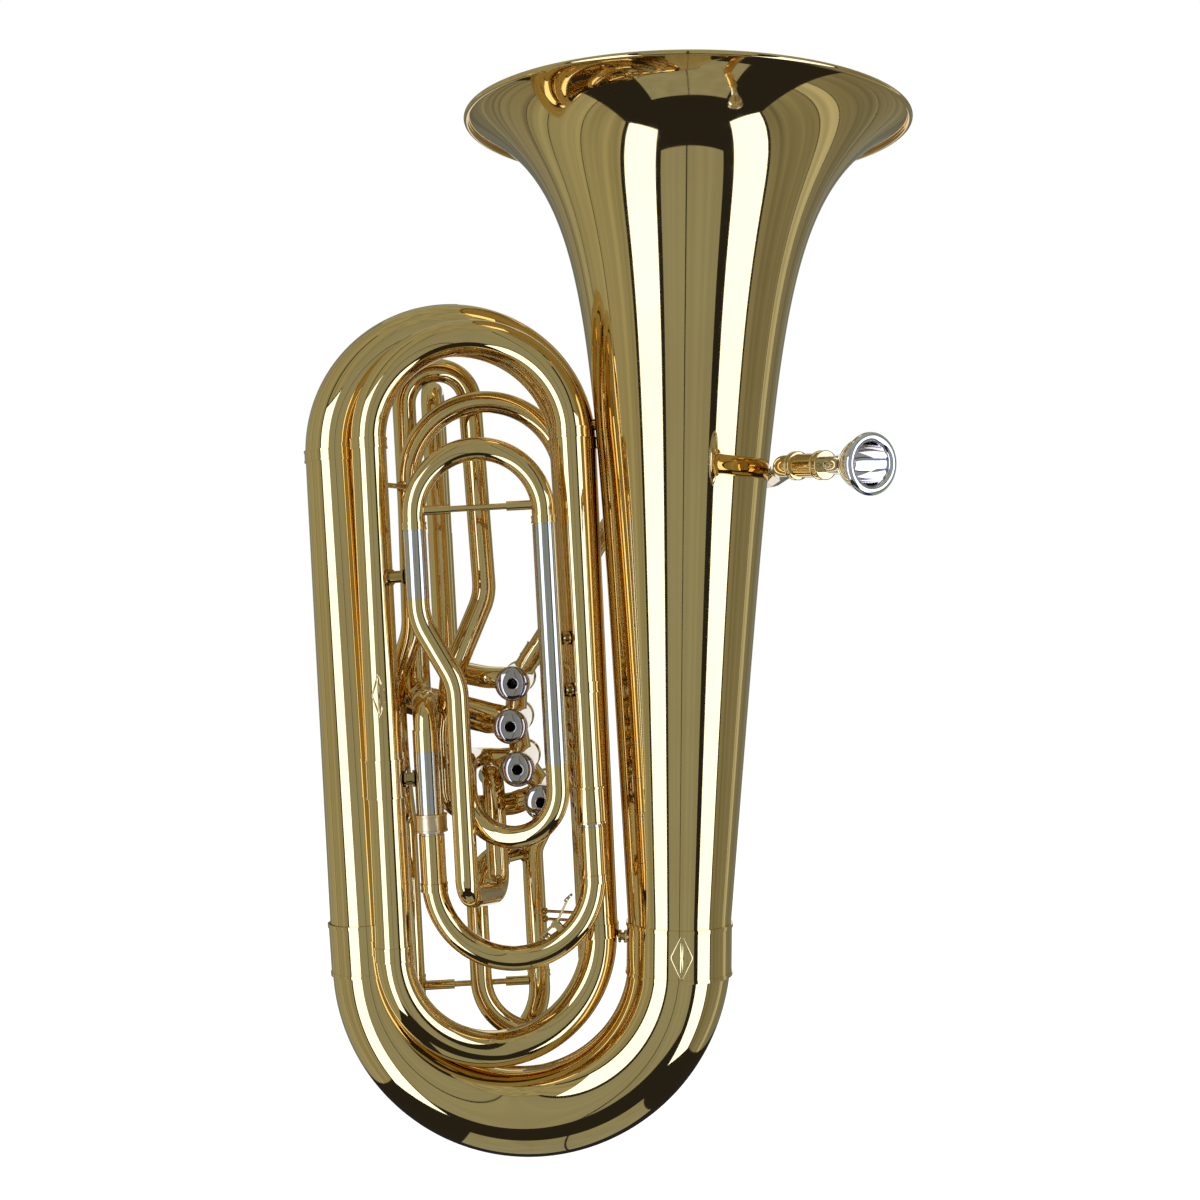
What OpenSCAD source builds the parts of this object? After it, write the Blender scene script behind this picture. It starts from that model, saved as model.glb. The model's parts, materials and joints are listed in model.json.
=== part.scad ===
// Four-valve front-action tuba.
// Row frame: the origin is the lowest point of the large bottom bow, +Z runs up along the bell's axis
// direction, +X runs towards the bell and +Y towards the finger buttons. All sizes are in millimetres.
// The coil of tubing leans away from the bell by coil_lean degrees, so its parts are laid out in a
// leaned frame, written [u, y, w] below, and turned into place by in_coil().

/* [Bell] */
// Distance from the lowest point of the bottom bow to the bell's axis
bell_x = 130; // [125:1:135]
// Height of the top of the bell rim
bell_top = 883; // [870:1:900]
// Radius of the bell rim over its bead
rim_r = 190; // [185:1:195]
// Outer radius of the bell tail, where it meets the bottom bow
throat_r = 44; // [43:0.5:45]
// Growth of the radius for each millimetre up the straight part of the bell
bell_taper = 0.0679; // [0.06:0.001:0.07]
// Length over which the flare dies away below the rim
flare_len = 58.7; // [50:0.1:65]
// Exponent that shapes the flare
flare_power = 0.83; // [0.8:0.01:0.9]
// Thickness of the bell sheet
bell_wall = 1.0; // [0.6:0.1:1.4]
// Radius of the wire bead rolled into the rim
bead_r = 2.2; // [2:0.1:2.6]

/* [Large branches] */
// Lean of the coil against the bell's axis, in degrees
coil_lean = 3.6; // [3:0.1:4]
// Lean of the left branch against the bell's axis, in degrees
left_lean = 4.4; // [4:0.1:5]
// Centreline radius of the bottom bow
bottom_bow_r = 132.4; // [130:0.1:134]
// Outer radius of the bottom bow where it meets the left branch
left_low_r = 31; // [29:0.5:32]
// Length of the left branch
left_length = 438; // [430:1:445]
// Outer radius of the left branch where it meets the top bow
left_high_r = 24.8; // [24:0.1:26]
// Outer radius of the right branch where it meets the top bow
right_high_r = 20.2; // [19:0.1:22]
// Outer radius of the right branch where it meets the second bottom bow
right_low_r = 16.5; // [15.6:0.1:17]
// Outer radius of the second bottom bow
second_low_r = 15.4; // [15:0.1:16]
// Outer radius of the second top bow
second_top_r = 14.6; // [14:0.1:15]
// Thickness of the branch sheet
branch_wall = 0.9; // [0.7:0.1:1.2]

/* [Slides] */
// Outer radius of the main slide's inner legs
main_leg_r = 10.4; // [10:0.1:10.6]
// Outer radius of the valve tubing and of the slide bows
tube_r = 9.6; // [9.4:0.1:9.8]
// Outer radius of the valve slides' inner legs
leg_r = 9.0; // [8.8:0.1:9.1]
// Radial clearance between a slide leg and its sleeve
slide_gap = 0.05; // [0.03:0.01:0.08]
// Thickness of the small tubing
tube_wall = 0.8; // [0.6:0.1:1]

/* [Valves] */
// Radius of a piston
piston_r = 12.5; // [12:0.1:13]
// Stroke of a piston
stroke = 18; // [16:0.5:20]
// Radius of the air passage
bore_r = 8.4; // [8:0.1:8.6]

/* [Mouthpiece] */
// Radius of the mouthpiece rim
mouthpiece_r = 23.2; // [22:0.1:24]
// Length of the mouthpiece
mouthpiece_length = 80; // [76:1:84]

/* [Hidden] */
$fn = 64;
VALVES = ["first", "second", "third", "fourth"];

BRASS = "#c9a648";
DARK_BRASS = "#b08a38";
NICKEL = "#c8c4b4";
SILVER = "#dcdce0";
STEEL = "#a8a8ac";
FELT = "#303030";
CORK = "#a97f52";

// Centre height of the bottom bow, which puts its lowest point on the origin
bow_mid_r = (throat_r + left_low_r) / 2;
bow_z = bottom_bow_r + bow_mid_r;
bow_sweep = 180 - left_lean;

// Height of the rolled lip, and where the bell starts to widen above its ferrule
bell_lip = bell_top - bead_r;
taper_start = 201;

// Driving points of the coil in the leaned frame [u, y, w]
low_left = to_coil(bell_x - bottom_bow_r * (1 + cos(left_lean)), 0, bow_z - bottom_bow_r * sin(left_lean));
high_left = to_coil(bell_x - bottom_bow_r * (1 + cos(left_lean)) - left_length * sin(left_lean), 0,
    bow_z - bottom_bow_r * sin(left_lean) + left_length * cos(left_lean));
right_u = 73.2;
right_y = 12;
high_right = [right_u, right_y, high_left.z];
low_right = [right_u, right_y, 185];
second_low_left = [-96.6, -42, 185];
second_high_left = [-96.6, -33, 611];
second_high_right = [72, -33, 611];
second_low_right = [72, -37, 400];

// Straight tubes reach a little way into the bends, a little thinner than them
lap = 1;
lap_step = 0.1;

// Main slide
main_right = [72, -37, 242.5];
main_left = [-61, -37, 242.5];
sleeve_low = 285;
main_leg_top = 364;
collar_length = 15;
main_sleeve_r = 11.4;
right_sleeve_r = 12.4;

// Valve places [u, w], depth levels and port angles. Each port is [angle, level, reach from the axis].
VALVE_AT = [[11.3, 403], [7.6, 366.7], [11.7, 330.1], [30.4, 301.2]];
level = 78;
loop_step = 22;
casing_low = -8;
casing_high = 134;
casing_r = 13.8;
piston_low = 64;
piston_high = 128;
cap_front = -15;
cap_r = 14.9;
cap_depth = 14;
stem_r = 2.6;
felt_high = 145;
button_low = felt_high + stroke;
button_thick = 5;
passage_r = 4;
port_reach = 20;
INLET = [55, angle_between(1, 0), angle_between(2, 1), angle_between(3, 2)];
OUTLET = [angle_between(0, 1), angle_between(1, 2), angle_between(2, 3), 200];
LOOP_OUT = [175, 163, 200, 270];
LOOP_IN = [175, 190, 180, 262];

// Loops: the first loop is the pull-up slide behind the valves, the third one lies in front
first_u = -54.5;
first_front = 96;
first_back = 126;
first_sleeve_top = 540;
first_bow_w = 655;
second_slide_angle = 163;
second_sleeve = 58;
second_reach = 100;
third_left = [-60, -55];
third_right = [46.8, -55];
third_ring_w = 535;
third_bow_w = 546;
third_left_low = 478;
third_s_u = -32;
third_tail = [-31, -33];
fourth_high_left = [-72, 26, 580];
fourth_high_right = [64, 44, 580];
fourth_low_left = [-33.5, 50, 140];
fourth_low_right = [62.6, 50, 140];
pull_left = [-95.5, 75];
pull_right = [16.5, 75];
pull_ring_w = 142;
pull_bow_w = 127;

// Water key on the main slide bow
key_angle = -50;
key_pin_z = 5.4;
key_pin_r = 1;
touch_rise = 7.3;

// Mouthpipe in the row frame
lead_r = 8.6;
mouth_point = [258, -210, 575.5];
mouth_dir = [0.5, -0.866, -0.05] / norm([0.5, -0.866, -0.05]);
lead_bend = mouth_point - 110 * mouth_dir;

// ---------------------------------------------------------------- functions
function unit(v) = v / norm(v);
function turn(a, b) = acos(min(1, max(-1, unit(a) * unit(b))));
function to_coil(x, y, z) = [x * cos(coil_lean) + z * sin(coil_lean), y,
    -x * sin(coil_lean) + z * cos(coil_lean)];
function to_row(p) = [p.x * cos(coil_lean) - p.z * sin(coil_lean), p.y,
    p.x * sin(coil_lean) + p.z * cos(coil_lean)];
function angle_between(i, j) = atan2(VALVE_AT[j].y - VALVE_AT[i].y, VALVE_AT[j].x - VALVE_AT[i].x);
function valve_axis(i, y) = [VALVE_AT[i].x, y, VALVE_AT[i].y];
function valve_port(i, a, y, reach) = valve_axis(i, y) + reach * [cos(a), 0, sin(a)];
function on_left(w) = let (run = second_high_left - second_low_left)
    second_low_left + (w - second_low_left.z) / run.z * run;
function side_of(c) = unit(cross(c, abs(c.y) < 0.9 ? [0, 1, 0] : [1, 0, 0]));
function frame(a, b, c, p) = [[a.x, b.x, c.x, p.x], [a.y, b.y, c.y, p.y], [a.z, b.z, c.z, p.z], [0, 0, 0, 1]];
function bend_of(bends, i) = is_list(bends) ? bends[i - 1] : bends;
function trim(pts, bends, i) = i == 0 || i == len(pts) - 1 ? 0
    : bend_of(bends, i) * tan(turn(pts[i] - pts[i - 1], pts[i + 1] - pts[i]) / 2);

// Outer radius of the bell at height z, and a point of its sheet set back by t along the normal
flare_rise = rim_r - bead_r - throat_r - bell_taper * (bell_lip - taper_start);
function bell_r(z) = throat_r + bell_taper * max(0, z - taper_start)
    + flare_rise * exp(-pow((bell_lip - z) / flare_len, flare_power));
function bell_slope(z) = let (above = min(z + 0.5, bell_lip), below = z - 0.5)
    (bell_r(above) - bell_r(below)) / (above - below);
function bell_point(z, t) = [bell_r(z) - t / sqrt(1 + pow(bell_slope(z), 2)),
    z + t * bell_slope(z) / sqrt(1 + pow(bell_slope(z), 2))];

// ---------------------------------------------------------------- helpers
module in_coil() { rotate([0, -coil_lean, 0]) children(); }

module along(p, d) {
    c = unit(d);
    a = side_of(c);
    multmatrix(frame(a, cross(c, a), c, p)) children();
}

// A straight or conical tube between two points
module pipe(p0, p1, r0, r1, wall) {
    l = norm(p1 - p0);
    along(p0, p1 - p0)
        rotate_extrude() polygon([[r0 - wall, 0], [r0, 0], [r1, l], [r1 - wall, l]]);
}

module rod(p0, p1, r) { along(p0, p1 - p0) cylinder(r = r, h = norm(p1 - p0)); }

// A bent tube: the arc starts at centre + radius * x and heads along y
module arc_tube(centre, x, y, radius, sweep, r, wall) {
    multmatrix(frame(x, y, cross(x, y), centre))
        rotate_extrude(angle = sweep) translate([radius, 0]) difference() {
            circle(r);
            circle(r - wall);
        }
}

// A half-round bow from p0 to p1 that leaves p0 along direction d
module u_bow(p0, p1, d, r, wall) {
    arc_tube((p0 + p1) / 2, unit(p0 - p1), d, norm(p1 - p0) / 2, 180, r, wall);
}

// A straight length of tube that reaches lap0 and lap1 past its ends, inside the wall of the bends there
module lapped(p0, p1, r, wall, lap0, lap1) {
    d = unit(p1 - p0);
    pipe(p0 - lap0 * d, p1 + lap1 * d, r - lap_step, r - lap_step, wall - 2 * lap_step);
}

// A tube that follows straight runs joined by bends of the given radius or radii
module route(pts, bends, r, wall, lap_start = 0, lap_end = 0) {
    last = len(pts) - 2;
    for (i = [0:last]) {
        d = unit(pts[i + 1] - pts[i]);
        lapped(pts[i] + trim(pts, bends, i) * d, pts[i + 1] - trim(pts, bends, i + 1) * d, r, wall,
            i == 0 ? lap_start : lap, i == last ? lap_end : lap);
    }
    for (i = [1:len(pts) - 2]) {
        d0 = unit(pts[i] - pts[i - 1]);
        d1 = unit(pts[i + 1] - pts[i]);
        n = unit(d1 - (d1 * d0) * d0);
        b = bend_of(bends, i);
        arc_tube(pts[i] - trim(pts, bends, i) * d0 + b * n, -n, d0, b, turn(d0, d1), r, wall);
    }
}

// A valve slide's sleeve, and the inner leg that slides in it
module sleeve(p0, p1) { pipe(p0, p1, tube_r, tube_r, tube_r - leg_r - slide_gap); }
module leg(p0, p1) { pipe(p0, p1, leg_r, leg_r, tube_wall - 0.1); }

// A soldered band with a raised bead at each end, around a tube of radius r
module ferrule(p, d, r, length, thick = 0.8, bead = 0.7, bead_length = 1.6) {
    along(p, d) rotate_extrude() polygon([
        [r, 0], [r + thick + bead, 0], [r + thick + bead, bead_length], [r + thick, bead_length],
        [r + thick, length - bead_length], [r + thick + bead, length - bead_length],
        [r + thick + bead, length], [r, length]]);
}

// A brace rod between the walls of two tubes, with a round flange on each
module brace(p0, r0, p1, r1, r = 2.6, flange = 6, thick = 1.6) {
    d = unit(p1 - p0);
    rod(p0 + r0 * d, p1 - r1 * d, r);
    rod(p0 + r0 * d, p0 + (r0 + thick) * d, flange);
    rod(p1 - (r1 + thick) * d, p1 - r1 * d, flange);
}

// A hollow tapered bow swept around centre in the plane of x and z, from radius r0 to r1
module tapered_bow(centre, x, z, radius, sweep, r0, r1, wall, rings, sides) {
    y = cross(x, z);
    function ring(k, set) = let (f = k / (rings - 1), a = -sweep * f, r = r0 + (r1 - r0) * f - set)
        [for (j = [0:sides - 1]) let (b = 360 * j / sides)
            centre + (radius + r * cos(b)) * (cos(a) * x + sin(a) * z) + r * sin(b) * y];
    points = concat([for (k = [0:rings - 1]) each ring(k, 0)], [for (k = [0:rings - 1]) each ring(k, wall)]);
    n = rings * sides;
    outer = [for (k = [0:rings - 2], j = [0:sides - 1]) let (q = (j + 1) % sides)
        [k * sides + j, k * sides + q, (k + 1) * sides + q, (k + 1) * sides + j]];
    inner = [for (f = outer) [f[3] + n, f[2] + n, f[1] + n, f[0] + n]];
    start = [for (j = [0:sides - 1]) let (q = (j + 1) % sides) [j, j + n, q + n, q]];
    e = (rings - 1) * sides;
    finish = [for (j = [0:sides - 1]) let (q = (j + 1) % sides) [e + j, e + q, e + q + n, e + j + n]];
    polyhedron(points, concat(outer, inner, start, finish));
}

// ---------------------------------------------------------------- bell and large branches
module bell() {
    steps = 34;
    heights = [for (i = [0:steps]) taper_start + (bell_lip - taper_start) * (1 - pow(1 - i / steps, 2))];
    color(BRASS) translate([bell_x, 0, 0]) rotate_extrude() polygon(concat(
        [[throat_r, bow_z]], [for (z = heights) bell_point(z, 0)],
        [for (i = [steps:-1:0]) bell_point(heights[i], bell_wall)], [[throat_r - bell_wall, bow_z]]));
}

module bell_rim_wire() {
    color(BRASS) translate([bell_x, 0, bell_lip]) rotate_extrude() translate([rim_r - bead_r, 0])
        intersection() {
            circle(bead_r);
            translate([-bead_r, -bead_r]) square([2 * bead_r, 2 * bead_r - 0.15]);
        }
}

module bell_ferrule() {
    color(BRASS) ferrule([bell_x, 0, 157], [0, 0, 1], throat_r + 0.02, 44, 0.9, 0.8, 3);
}

module bottom_bow() {
    color(BRASS) tapered_bow([bell_x - bottom_bow_r, 0, bow_z], [1, 0, 0], [0, 0, 1], bottom_bow_r,
        bow_sweep, throat_r, left_low_r, branch_wall, 27, 36);
}

module left_branch() {
    color(BRASS) in_coil() pipe(low_left, high_left, left_low_r, left_high_r, branch_wall);
}

module left_branch_ferrule() {
    d = unit(high_left - low_left);
    color(BRASS) in_coil() ferrule(low_left - 4 * d, d, left_low_r + 0.02, 44, 0.9, 0.8, 3);
}

module top_bow() {
    d = unit(high_right - high_left);
    centre = (high_left + high_right) / 2;
    color(BRASS) in_coil() mirror([0, 0, 1]) tapered_bow([centre.x, centre.y, -centre.z], [-d.x, -d.y, 0],
        [0, 0, 1], norm(high_right - high_left) / 2, 180, left_high_r, right_high_r, branch_wall, 21, 30);
}

module right_branch() {
    color(BRASS) in_coil() pipe(low_right, high_right, right_low_r, right_high_r, branch_wall);
}

module second_bottom_bow() {
    color(BRASS) in_coil() u_bow(low_right, second_low_left, [0, 0, -1], second_low_r, branch_wall);
}

module second_left_branch() {
    color(BRASS) in_coil() pipe(second_low_left, second_high_left, second_low_r, second_top_r, branch_wall);
}

module second_top_bow() {
    color(BRASS) in_coil() u_bow(second_high_left, second_high_right, [0, 0, 1], second_top_r, branch_wall);
}

module second_right_branch() {
    color(BRASS) in_coil()
        pipe(second_low_right, second_high_right, right_sleeve_r, second_top_r, branch_wall);
}

module branch_ferrules() {
    color(BRASS) in_coil() {
        ferrule(high_left - [0, 0, 6], [0, 0, 1], left_high_r + 0.1, 10, 0.7, 0.4);
        ferrule(high_right - [0, 0, 6], [0, 0, 1], right_high_r + 0.05, 10, 0.5, 0.3);
        ferrule(low_right - [0, 0, 4], [0, 0, 1], right_low_r + 0.15, 12, 0.7, 0.4);
        ferrule(second_low_left - [0, 0, 4], [0, 0, 1], second_low_r + 0.02, 12, 0.7, 0.4);
        ferrule(on_left(315), second_high_left - second_low_left, second_low_r - 0.22, 32, 0.7, 0.5);
        ferrule(second_high_left - [0, 0, 5], [0, 0, 1], second_top_r + 0.02, 9, 0.7, 0.4);
        ferrule(second_high_right - [0, 0, 5], [0, 0, 1], second_top_r + 0.02, 9, 0.7, 0.4);
        ferrule([72, -37, 394], [0, 0, 1], right_sleeve_r + 0.02, 9, 0.7, 0.4);
    }
}

// A diamond-shaped guard plate curved round a tube whose axis is vertical
module guard_plate(p, r, half_w, half_h, thick) {
    translate(p) intersection() {
        rotate_extrude() translate([r, 0]) translate([0, -half_h]) square([thick, 2 * half_h]);
        translate([0, -r / 2, 0]) rotate([90, 0, 0]) linear_extrude(r)
            polygon([[-half_w, 0], [0, -half_h], [half_w, 0], [0, half_h]]);
    }
}

module guard_plates() {
    color(BRASS) {
        guard_plate([bell_x, 0, 179], throat_r + 0.95, 9.5, 19.5, 0.7);
        in_coil() guard_plate(on_left(401), second_low_r - 0.35, 6, 19, 0.7);
    }
}

// ---------------------------------------------------------------- braces and rings
module branch_braces() {
    color(DARK_BRASS) in_coil() {
        brace(on_left(577), second_top_r, [-72, 26, 577], tube_r, 2.2, 5);
        brace(on_left(498), second_top_r + 0.2, [third_left.x, -55, 498], tube_r, 5, 7);
        brace(on_left(330), second_low_r + 0.5, [main_left.x, -37, 330], main_sleeve_r, 5, 7);
        for (w = [440, 397]) {
            brace([third_right.x, -55, w], tube_r, [72, -37, w], second_top_r - 0.3, 3, 6);
        }
        brace([-12.3, 37, 245], tube_r, [15, 75, 245], tube_r, 2.6, 5);
        for (w = [187, 194]) {
            brace([pull_right.x, pull_right.y, w], tube_r, [fourth_low_right.x, fourth_low_right.y, w],
                tube_r, 1.4, 3);
        }
    }
}

module bell_braces() {
    branch_side = to_row([right_u - 1, right_y, 622]);
    bell_side = [bell_x, 0, branch_side.z];
    side = unit(bell_side - branch_side);
    sunk = 0.8;
    low_branch = [to_row([right_u, right_y, 187]).x, right_y, 186];
    color(DARK_BRASS) {
        rod(branch_side + (right_high_r - sunk) * side, bell_side - (bell_r(bell_side.z) - sunk) * side, 5);
        brace([bell_x, 0, 186], throat_r + 1.7, low_branch, right_low_r + 1.2, 3.4, 5.6);
        brace([bell_x + 10, 0, 586], bell_r(586), [bell_x + 10, 100, 586], lead_r, 3, 7);
        brace([bell_x, 10, 586], bell_r(586), [214, 10, 586], lead_r, 3, 5, 0.6);
    }
}

// Rings on the back of the bell that the hooks of a carrying strap clip into
module strap_rings() {
    ring_r = 6.5;
    clear = 5;
    color(BRASS) for (z = [270, 420]) {
        y = bell_r(z) + ring_r + clear;
        translate([bell_x - 1.5, y, z]) rotate([0, 90, 0]) difference() {
            cylinder(r = ring_r + 3, h = 3);
            translate([0, 0, -1]) cylinder(r = ring_r, h = 5);
        }
        rod([bell_x, bell_r(z) - 0.4, z], [bell_x, y - ring_r - 1, z], 3);
    }
}

// ---------------------------------------------------------------- main slide and return loop
module main_slide_sleeves() {
    color(BRASS) in_coil() for (s = [[main_left, 370, main_sleeve_r], [main_right, 400, right_sleeve_r]]) {
        pipe([s[0].x, s[0].y, sleeve_low], [s[0].x, s[0].y, s[1]], s[2], s[2], s[2] - main_leg_r - slide_gap);
    }
}

module main_slide_collar() {
    color(CORK) in_coil() {
        ferrule([main_left.x, -37, sleeve_low], [0, 0, 1], main_sleeve_r + 0.02, collar_length, 2, 0.5, 2);
        ferrule([main_right.x, -37, sleeve_low], [0, 0, 1], right_sleeve_r + 0.02, 31, 0.8, 0.6, 2);
    }
}

module main_slide_legs() {
    color(NICKEL) in_coil() for (p = [main_left, main_right]) {
        pipe(p, [p.x, p.y, main_leg_top], main_leg_r, main_leg_r, tube_wall);
    }
}

module main_slide_bow() {
    color(BRASS) in_coil() {
        u_bow(main_left, main_right, [0, 0, -1], main_leg_r, tube_wall);
        for (p = [main_left, main_right]) {
            ferrule(p - [0, 0, 7], [0, 0, 1], main_leg_r - 0.45, 7, 1.2, 0.3);
        }
    }
}

// The tube that carries the air from the main slide up, over and down to the fourth valve
module return_loop() {
    bow_left = [-75, 54, 652];
    bow_right = [-16.5, 54, 652];
    color(BRASS) in_coil() {
        route([[main_left.x, -37, 370], [main_left.x, -37, 392], [-75, 54, 392], bow_left], [21, 21],
            main_leg_r, tube_wall, 0, lap);
        u_bow(bow_left, bow_right, [0, 0, 1], main_leg_r, tube_wall);
        route([bow_right, [-12.5, 54, 480], [-44, 41, 412], [-52, 34, 360], [-52, 34, 294],
            valve_port(3, OUTLET[3], level, 30), valve_port(3, OUTLET[3], level, port_reach)],
            [45, 45, 45, 20, 14], main_leg_r, tube_wall, lap);
    }
}

// ---------------------------------------------------------------- water key
key_at = [(main_left.x + main_right.x) / 2 + (66.5 - main_leg_r) * cos(key_angle), -37,
    main_left.z + (66.5 - main_leg_r) * sin(key_angle)];

// The key's own frame: x along the tube towards the lever's finger end, z away from the tube
module at_key() {
    in_coil() translate(key_at) rotate([0, 90 - key_angle - 180, 0]) children();
}

module water_key_saddle() {
    color(BRASS) at_key() {
        difference() {
            for (y = [-5, 3.4]) {
                translate([-2.5, y, -1.2]) cube([5, 1.6, 8.7]);
            }
            translate([0, -6, key_pin_z]) rotate([-90, 0, 0]) cylinder(r = key_pin_r + slide_gap, h = 12);
        }
        translate([-13, 0, -1.5]) difference() {
            cylinder(r = 3.6, h = 4);
            translate([0, 0, -1]) cylinder(r = 2.2, h = 6);
        }
    }
}

module water_key_lever() {
    color(BRASS) at_key() {
        translate([0, -5.4, key_pin_z]) rotate([-90, 0, 0]) cylinder(r = key_pin_r, h = 10.8);
        translate([-17, -3, key_pin_z - 0.8]) cube([13.5, 6, 1.6]);
        for (y = [-3, 1.9]) {
            translate([-4, y, key_pin_z - 1.8]) cube([7, 1.1, 3.6]);
        }
        for (y = [-2.4, 2.4]) {
            rod([2, y, key_pin_z], [22, y * 0.5, key_pin_z + touch_rise + 0.7], 0.9);
        }
        translate([22, 0, key_pin_z + touch_rise]) cylinder(r = 4.5, h = 1.6);
    }
}

module water_key_cork() {
    color(CORK) at_key() translate([-13, 0, 2.5]) cylinder(r = 3, h = key_pin_z - 3.3);
}

// Three coils of wire round the key's pin
module water_key_spring() {
    pitch = 0.9;
    wire_r = 0.48;
    color(STEEL) at_key() for (y = [-pitch, 0, pitch]) {
        translate([0, y, key_pin_z]) rotate([90, 0, 0])
            rotate_extrude() translate([2.1, 0]) circle(wire_r);
    }
}

// ---------------------------------------------------------------- valves
// A stretch of the knuckle at one port, given as [angle, level]
module knuckle(i, port, low, high, r) {
    rod(valve_port(i, port[0], port[1], low), valve_port(i, port[0], port[1], high), r);
}

module valve_casing(i) {
    ports = [[INLET[i], level], [OUTLET[i], level], [LOOP_OUT[i], level], [LOOP_IN[i], level + loop_step]];
    next = i < 3 ? norm(VALVE_AT[i + 1] - VALVE_AT[i]) : port_reach;
    reach = [i == 0 ? port_reach : 0, next, port_reach, port_reach];
    color(BRASS) in_coil() difference() {
        union() {
            rod(valve_axis(i, casing_low), valve_axis(i, casing_high), casing_r);
            for (k = [0:3]) {
                if (reach[k] > 0) {
                    knuckle(i, ports[k], 9, reach[k], tube_r);
                }
            }
        }
        rod(valve_axis(i, casing_low - 1), valve_axis(i, casing_high + 1), piston_r + slide_gap);
        for (k = [0:3]) {
            knuckle(i, ports[k], 6, 60, bore_r);
        }
        if (i < 3) {
            rod(valve_axis(i + 1, casing_low - 1), valve_axis(i + 1, casing_high + 1), casing_r);
        }
    }
}

module piston(i) {
    up = level + stroke;
    color(NICKEL) in_coil() difference() {
        rod(valve_axis(i, piston_low), valve_axis(i, piston_high), piston_r);
        rod(valve_port(i, INLET[i], level, -3), valve_port(i, INLET[i], level, 20), bore_r - 0.4);
        rod(valve_port(i, OUTLET[i], level, -2), valve_port(i, OUTLET[i], level, 20), bore_r - 0.8);
        rod(valve_port(i, INLET[i], up, 14), valve_port(i, LOOP_OUT[i], up, 14), passage_r);
        rod(valve_port(i, OUTLET[i], up, 14), valve_port(i, LOOP_IN[i], up + loop_step, 14), passage_r);
        rod(valve_axis(i, piston_low - 1), valve_axis(i, piston_low + 2.5), 10.5);
    }
}

// A coil spring of round wire between the bottom cap and the piston
module valve_spring(i) {
    low = casing_low + 2.2;
    high = piston_low + 1.6;
    turns = 7;
    steps = 12;
    sides = 5;
    coil_r = 9;
    wire_r = 0.8;
    count = turns * steps;
    function ring(k) = let (a = 360 * k / steps) [for (j = [0:sides - 1]) let (b = 360 * j / sides)
        [(coil_r + wire_r * cos(b)) * cos(a), low + (high - low) * k / count + wire_r * sin(b),
            (coil_r + wire_r * cos(b)) * sin(a)]];
    points = [for (k = [0:count]) each ring(k)];
    skin = [for (k = [0:count - 1], j = [0:sides - 1]) let (a = k * sides, q = (j + 1) % sides)
        each [[a + j, a + q, a + sides + q], [a + j, a + sides + q, a + sides + j]]];
    ends = [[for (j = [sides - 1:-1:0]) j], [for (j = [0:sides - 1]) count * sides + j]];
    color(STEEL) in_coil() translate(valve_axis(i, 0)) polyhedron(points, concat(skin, ends));
}

module finger_button(i) {
    color(SILVER) in_coil() {
        rod(valve_axis(i, piston_high), valve_axis(i, button_low + 1), stem_r);
        rod(valve_axis(i, button_low), valve_axis(i, button_low + button_thick), 10);
    }
}

module bottom_valve_caps() {
    color(SILVER) in_coil() for (i = [0:3]) {
        along(valve_axis(i, cap_front + cap_depth), [0, -1, 0]) rotate_extrude() polygon(concat(
            [[casing_r + 0.02, 0], [cap_r, 0]],
            [for (a = [0:15:75]) [4.4 + (cap_r - 4.4) * cos(a), 8.5 + (cap_depth - 8.5) * sin(a)]],
            [[4.4, cap_depth], [4.4, 7.02], [casing_r + 0.02, 7.02]]));
    }
}

module top_valve_caps() {
    color(BRASS) in_coil() for (i = [0:3]) {
        along(valve_axis(i, casing_high - 6), [0, 1, 0]) rotate_extrude() polygon([
            [casing_r + 0.02, 0], [cap_r, 0], [cap_r, 9], [11, 14], [stem_r + 0.6, 14],
            [stem_r + 0.6, 6.02], [casing_r + 0.02, 6.02]]);
    }
}

module valve_felts() {
    color(FELT) in_coil() for (i = [0:3]) {
        pipe(valve_axis(i, casing_high + 8), valve_axis(i, felt_high), 7, 7, 7 - stem_r - 0.6);
    }
}

// ---------------------------------------------------------------- mouthpipe
module leadpipe() {
    start = to_row(valve_port(0, INLET[0], level, port_reach));
    knee = to_row(valve_port(0, INLET[0], level, 52));
    color(BRASS) {
        route([start, knee, [92, 100, 586], [214, 100, 586], [214, -10, 586], lead_bend,
            mouth_point - 96 * mouth_dir], [60, 45, 40, 90, 24], lead_r, tube_wall);
        ferrule(start, knee - start, lead_r + 0.02, 14, 1.2, 0.5);
    }
}

module mouthpiece_receiver() {
    color(BRASS) {
        pipe(mouth_point - 95 * mouth_dir, mouth_point - 56 * mouth_dir, lead_r + 0.6, lead_r + 0.6, 2.35);
        ferrule(mouth_point - 96 * mouth_dir, mouth_dir, lead_r + 0.6, 6, 1.2, 0.8);
        ferrule(mouth_point - 64 * mouth_dir, mouth_dir, lead_r + 0.6, 8, 1.2, 0.8);
    }
}

module mouthpiece() {
    shank_r = 6.8;
    shank = [[3.9, 0], [shank_r - 0.4, 0], [shank_r, 16], [shank_r, 30]];
    outside = [[8, 42], [9.5, 48], [13, 54], [17.5, 60], [20, 67], [20.5, 71]];
    rim = [[mouthpiece_r, 73], [mouthpiece_r, 77], [mouthpiece_r - 2, mouthpiece_length],
        [mouthpiece_r - 4.5, mouthpiece_length - 0.6], [16.4, 76]];
    cup = [for (a = [0:15:75]) [4 + 12 * cos(a), 74 - 26 * sin(a)]];
    color(SILVER) along(mouth_point - mouthpiece_length * mouth_dir, mouth_dir)
        rotate_extrude() polygon(concat(shank, outside, rim, cup));
}

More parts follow.
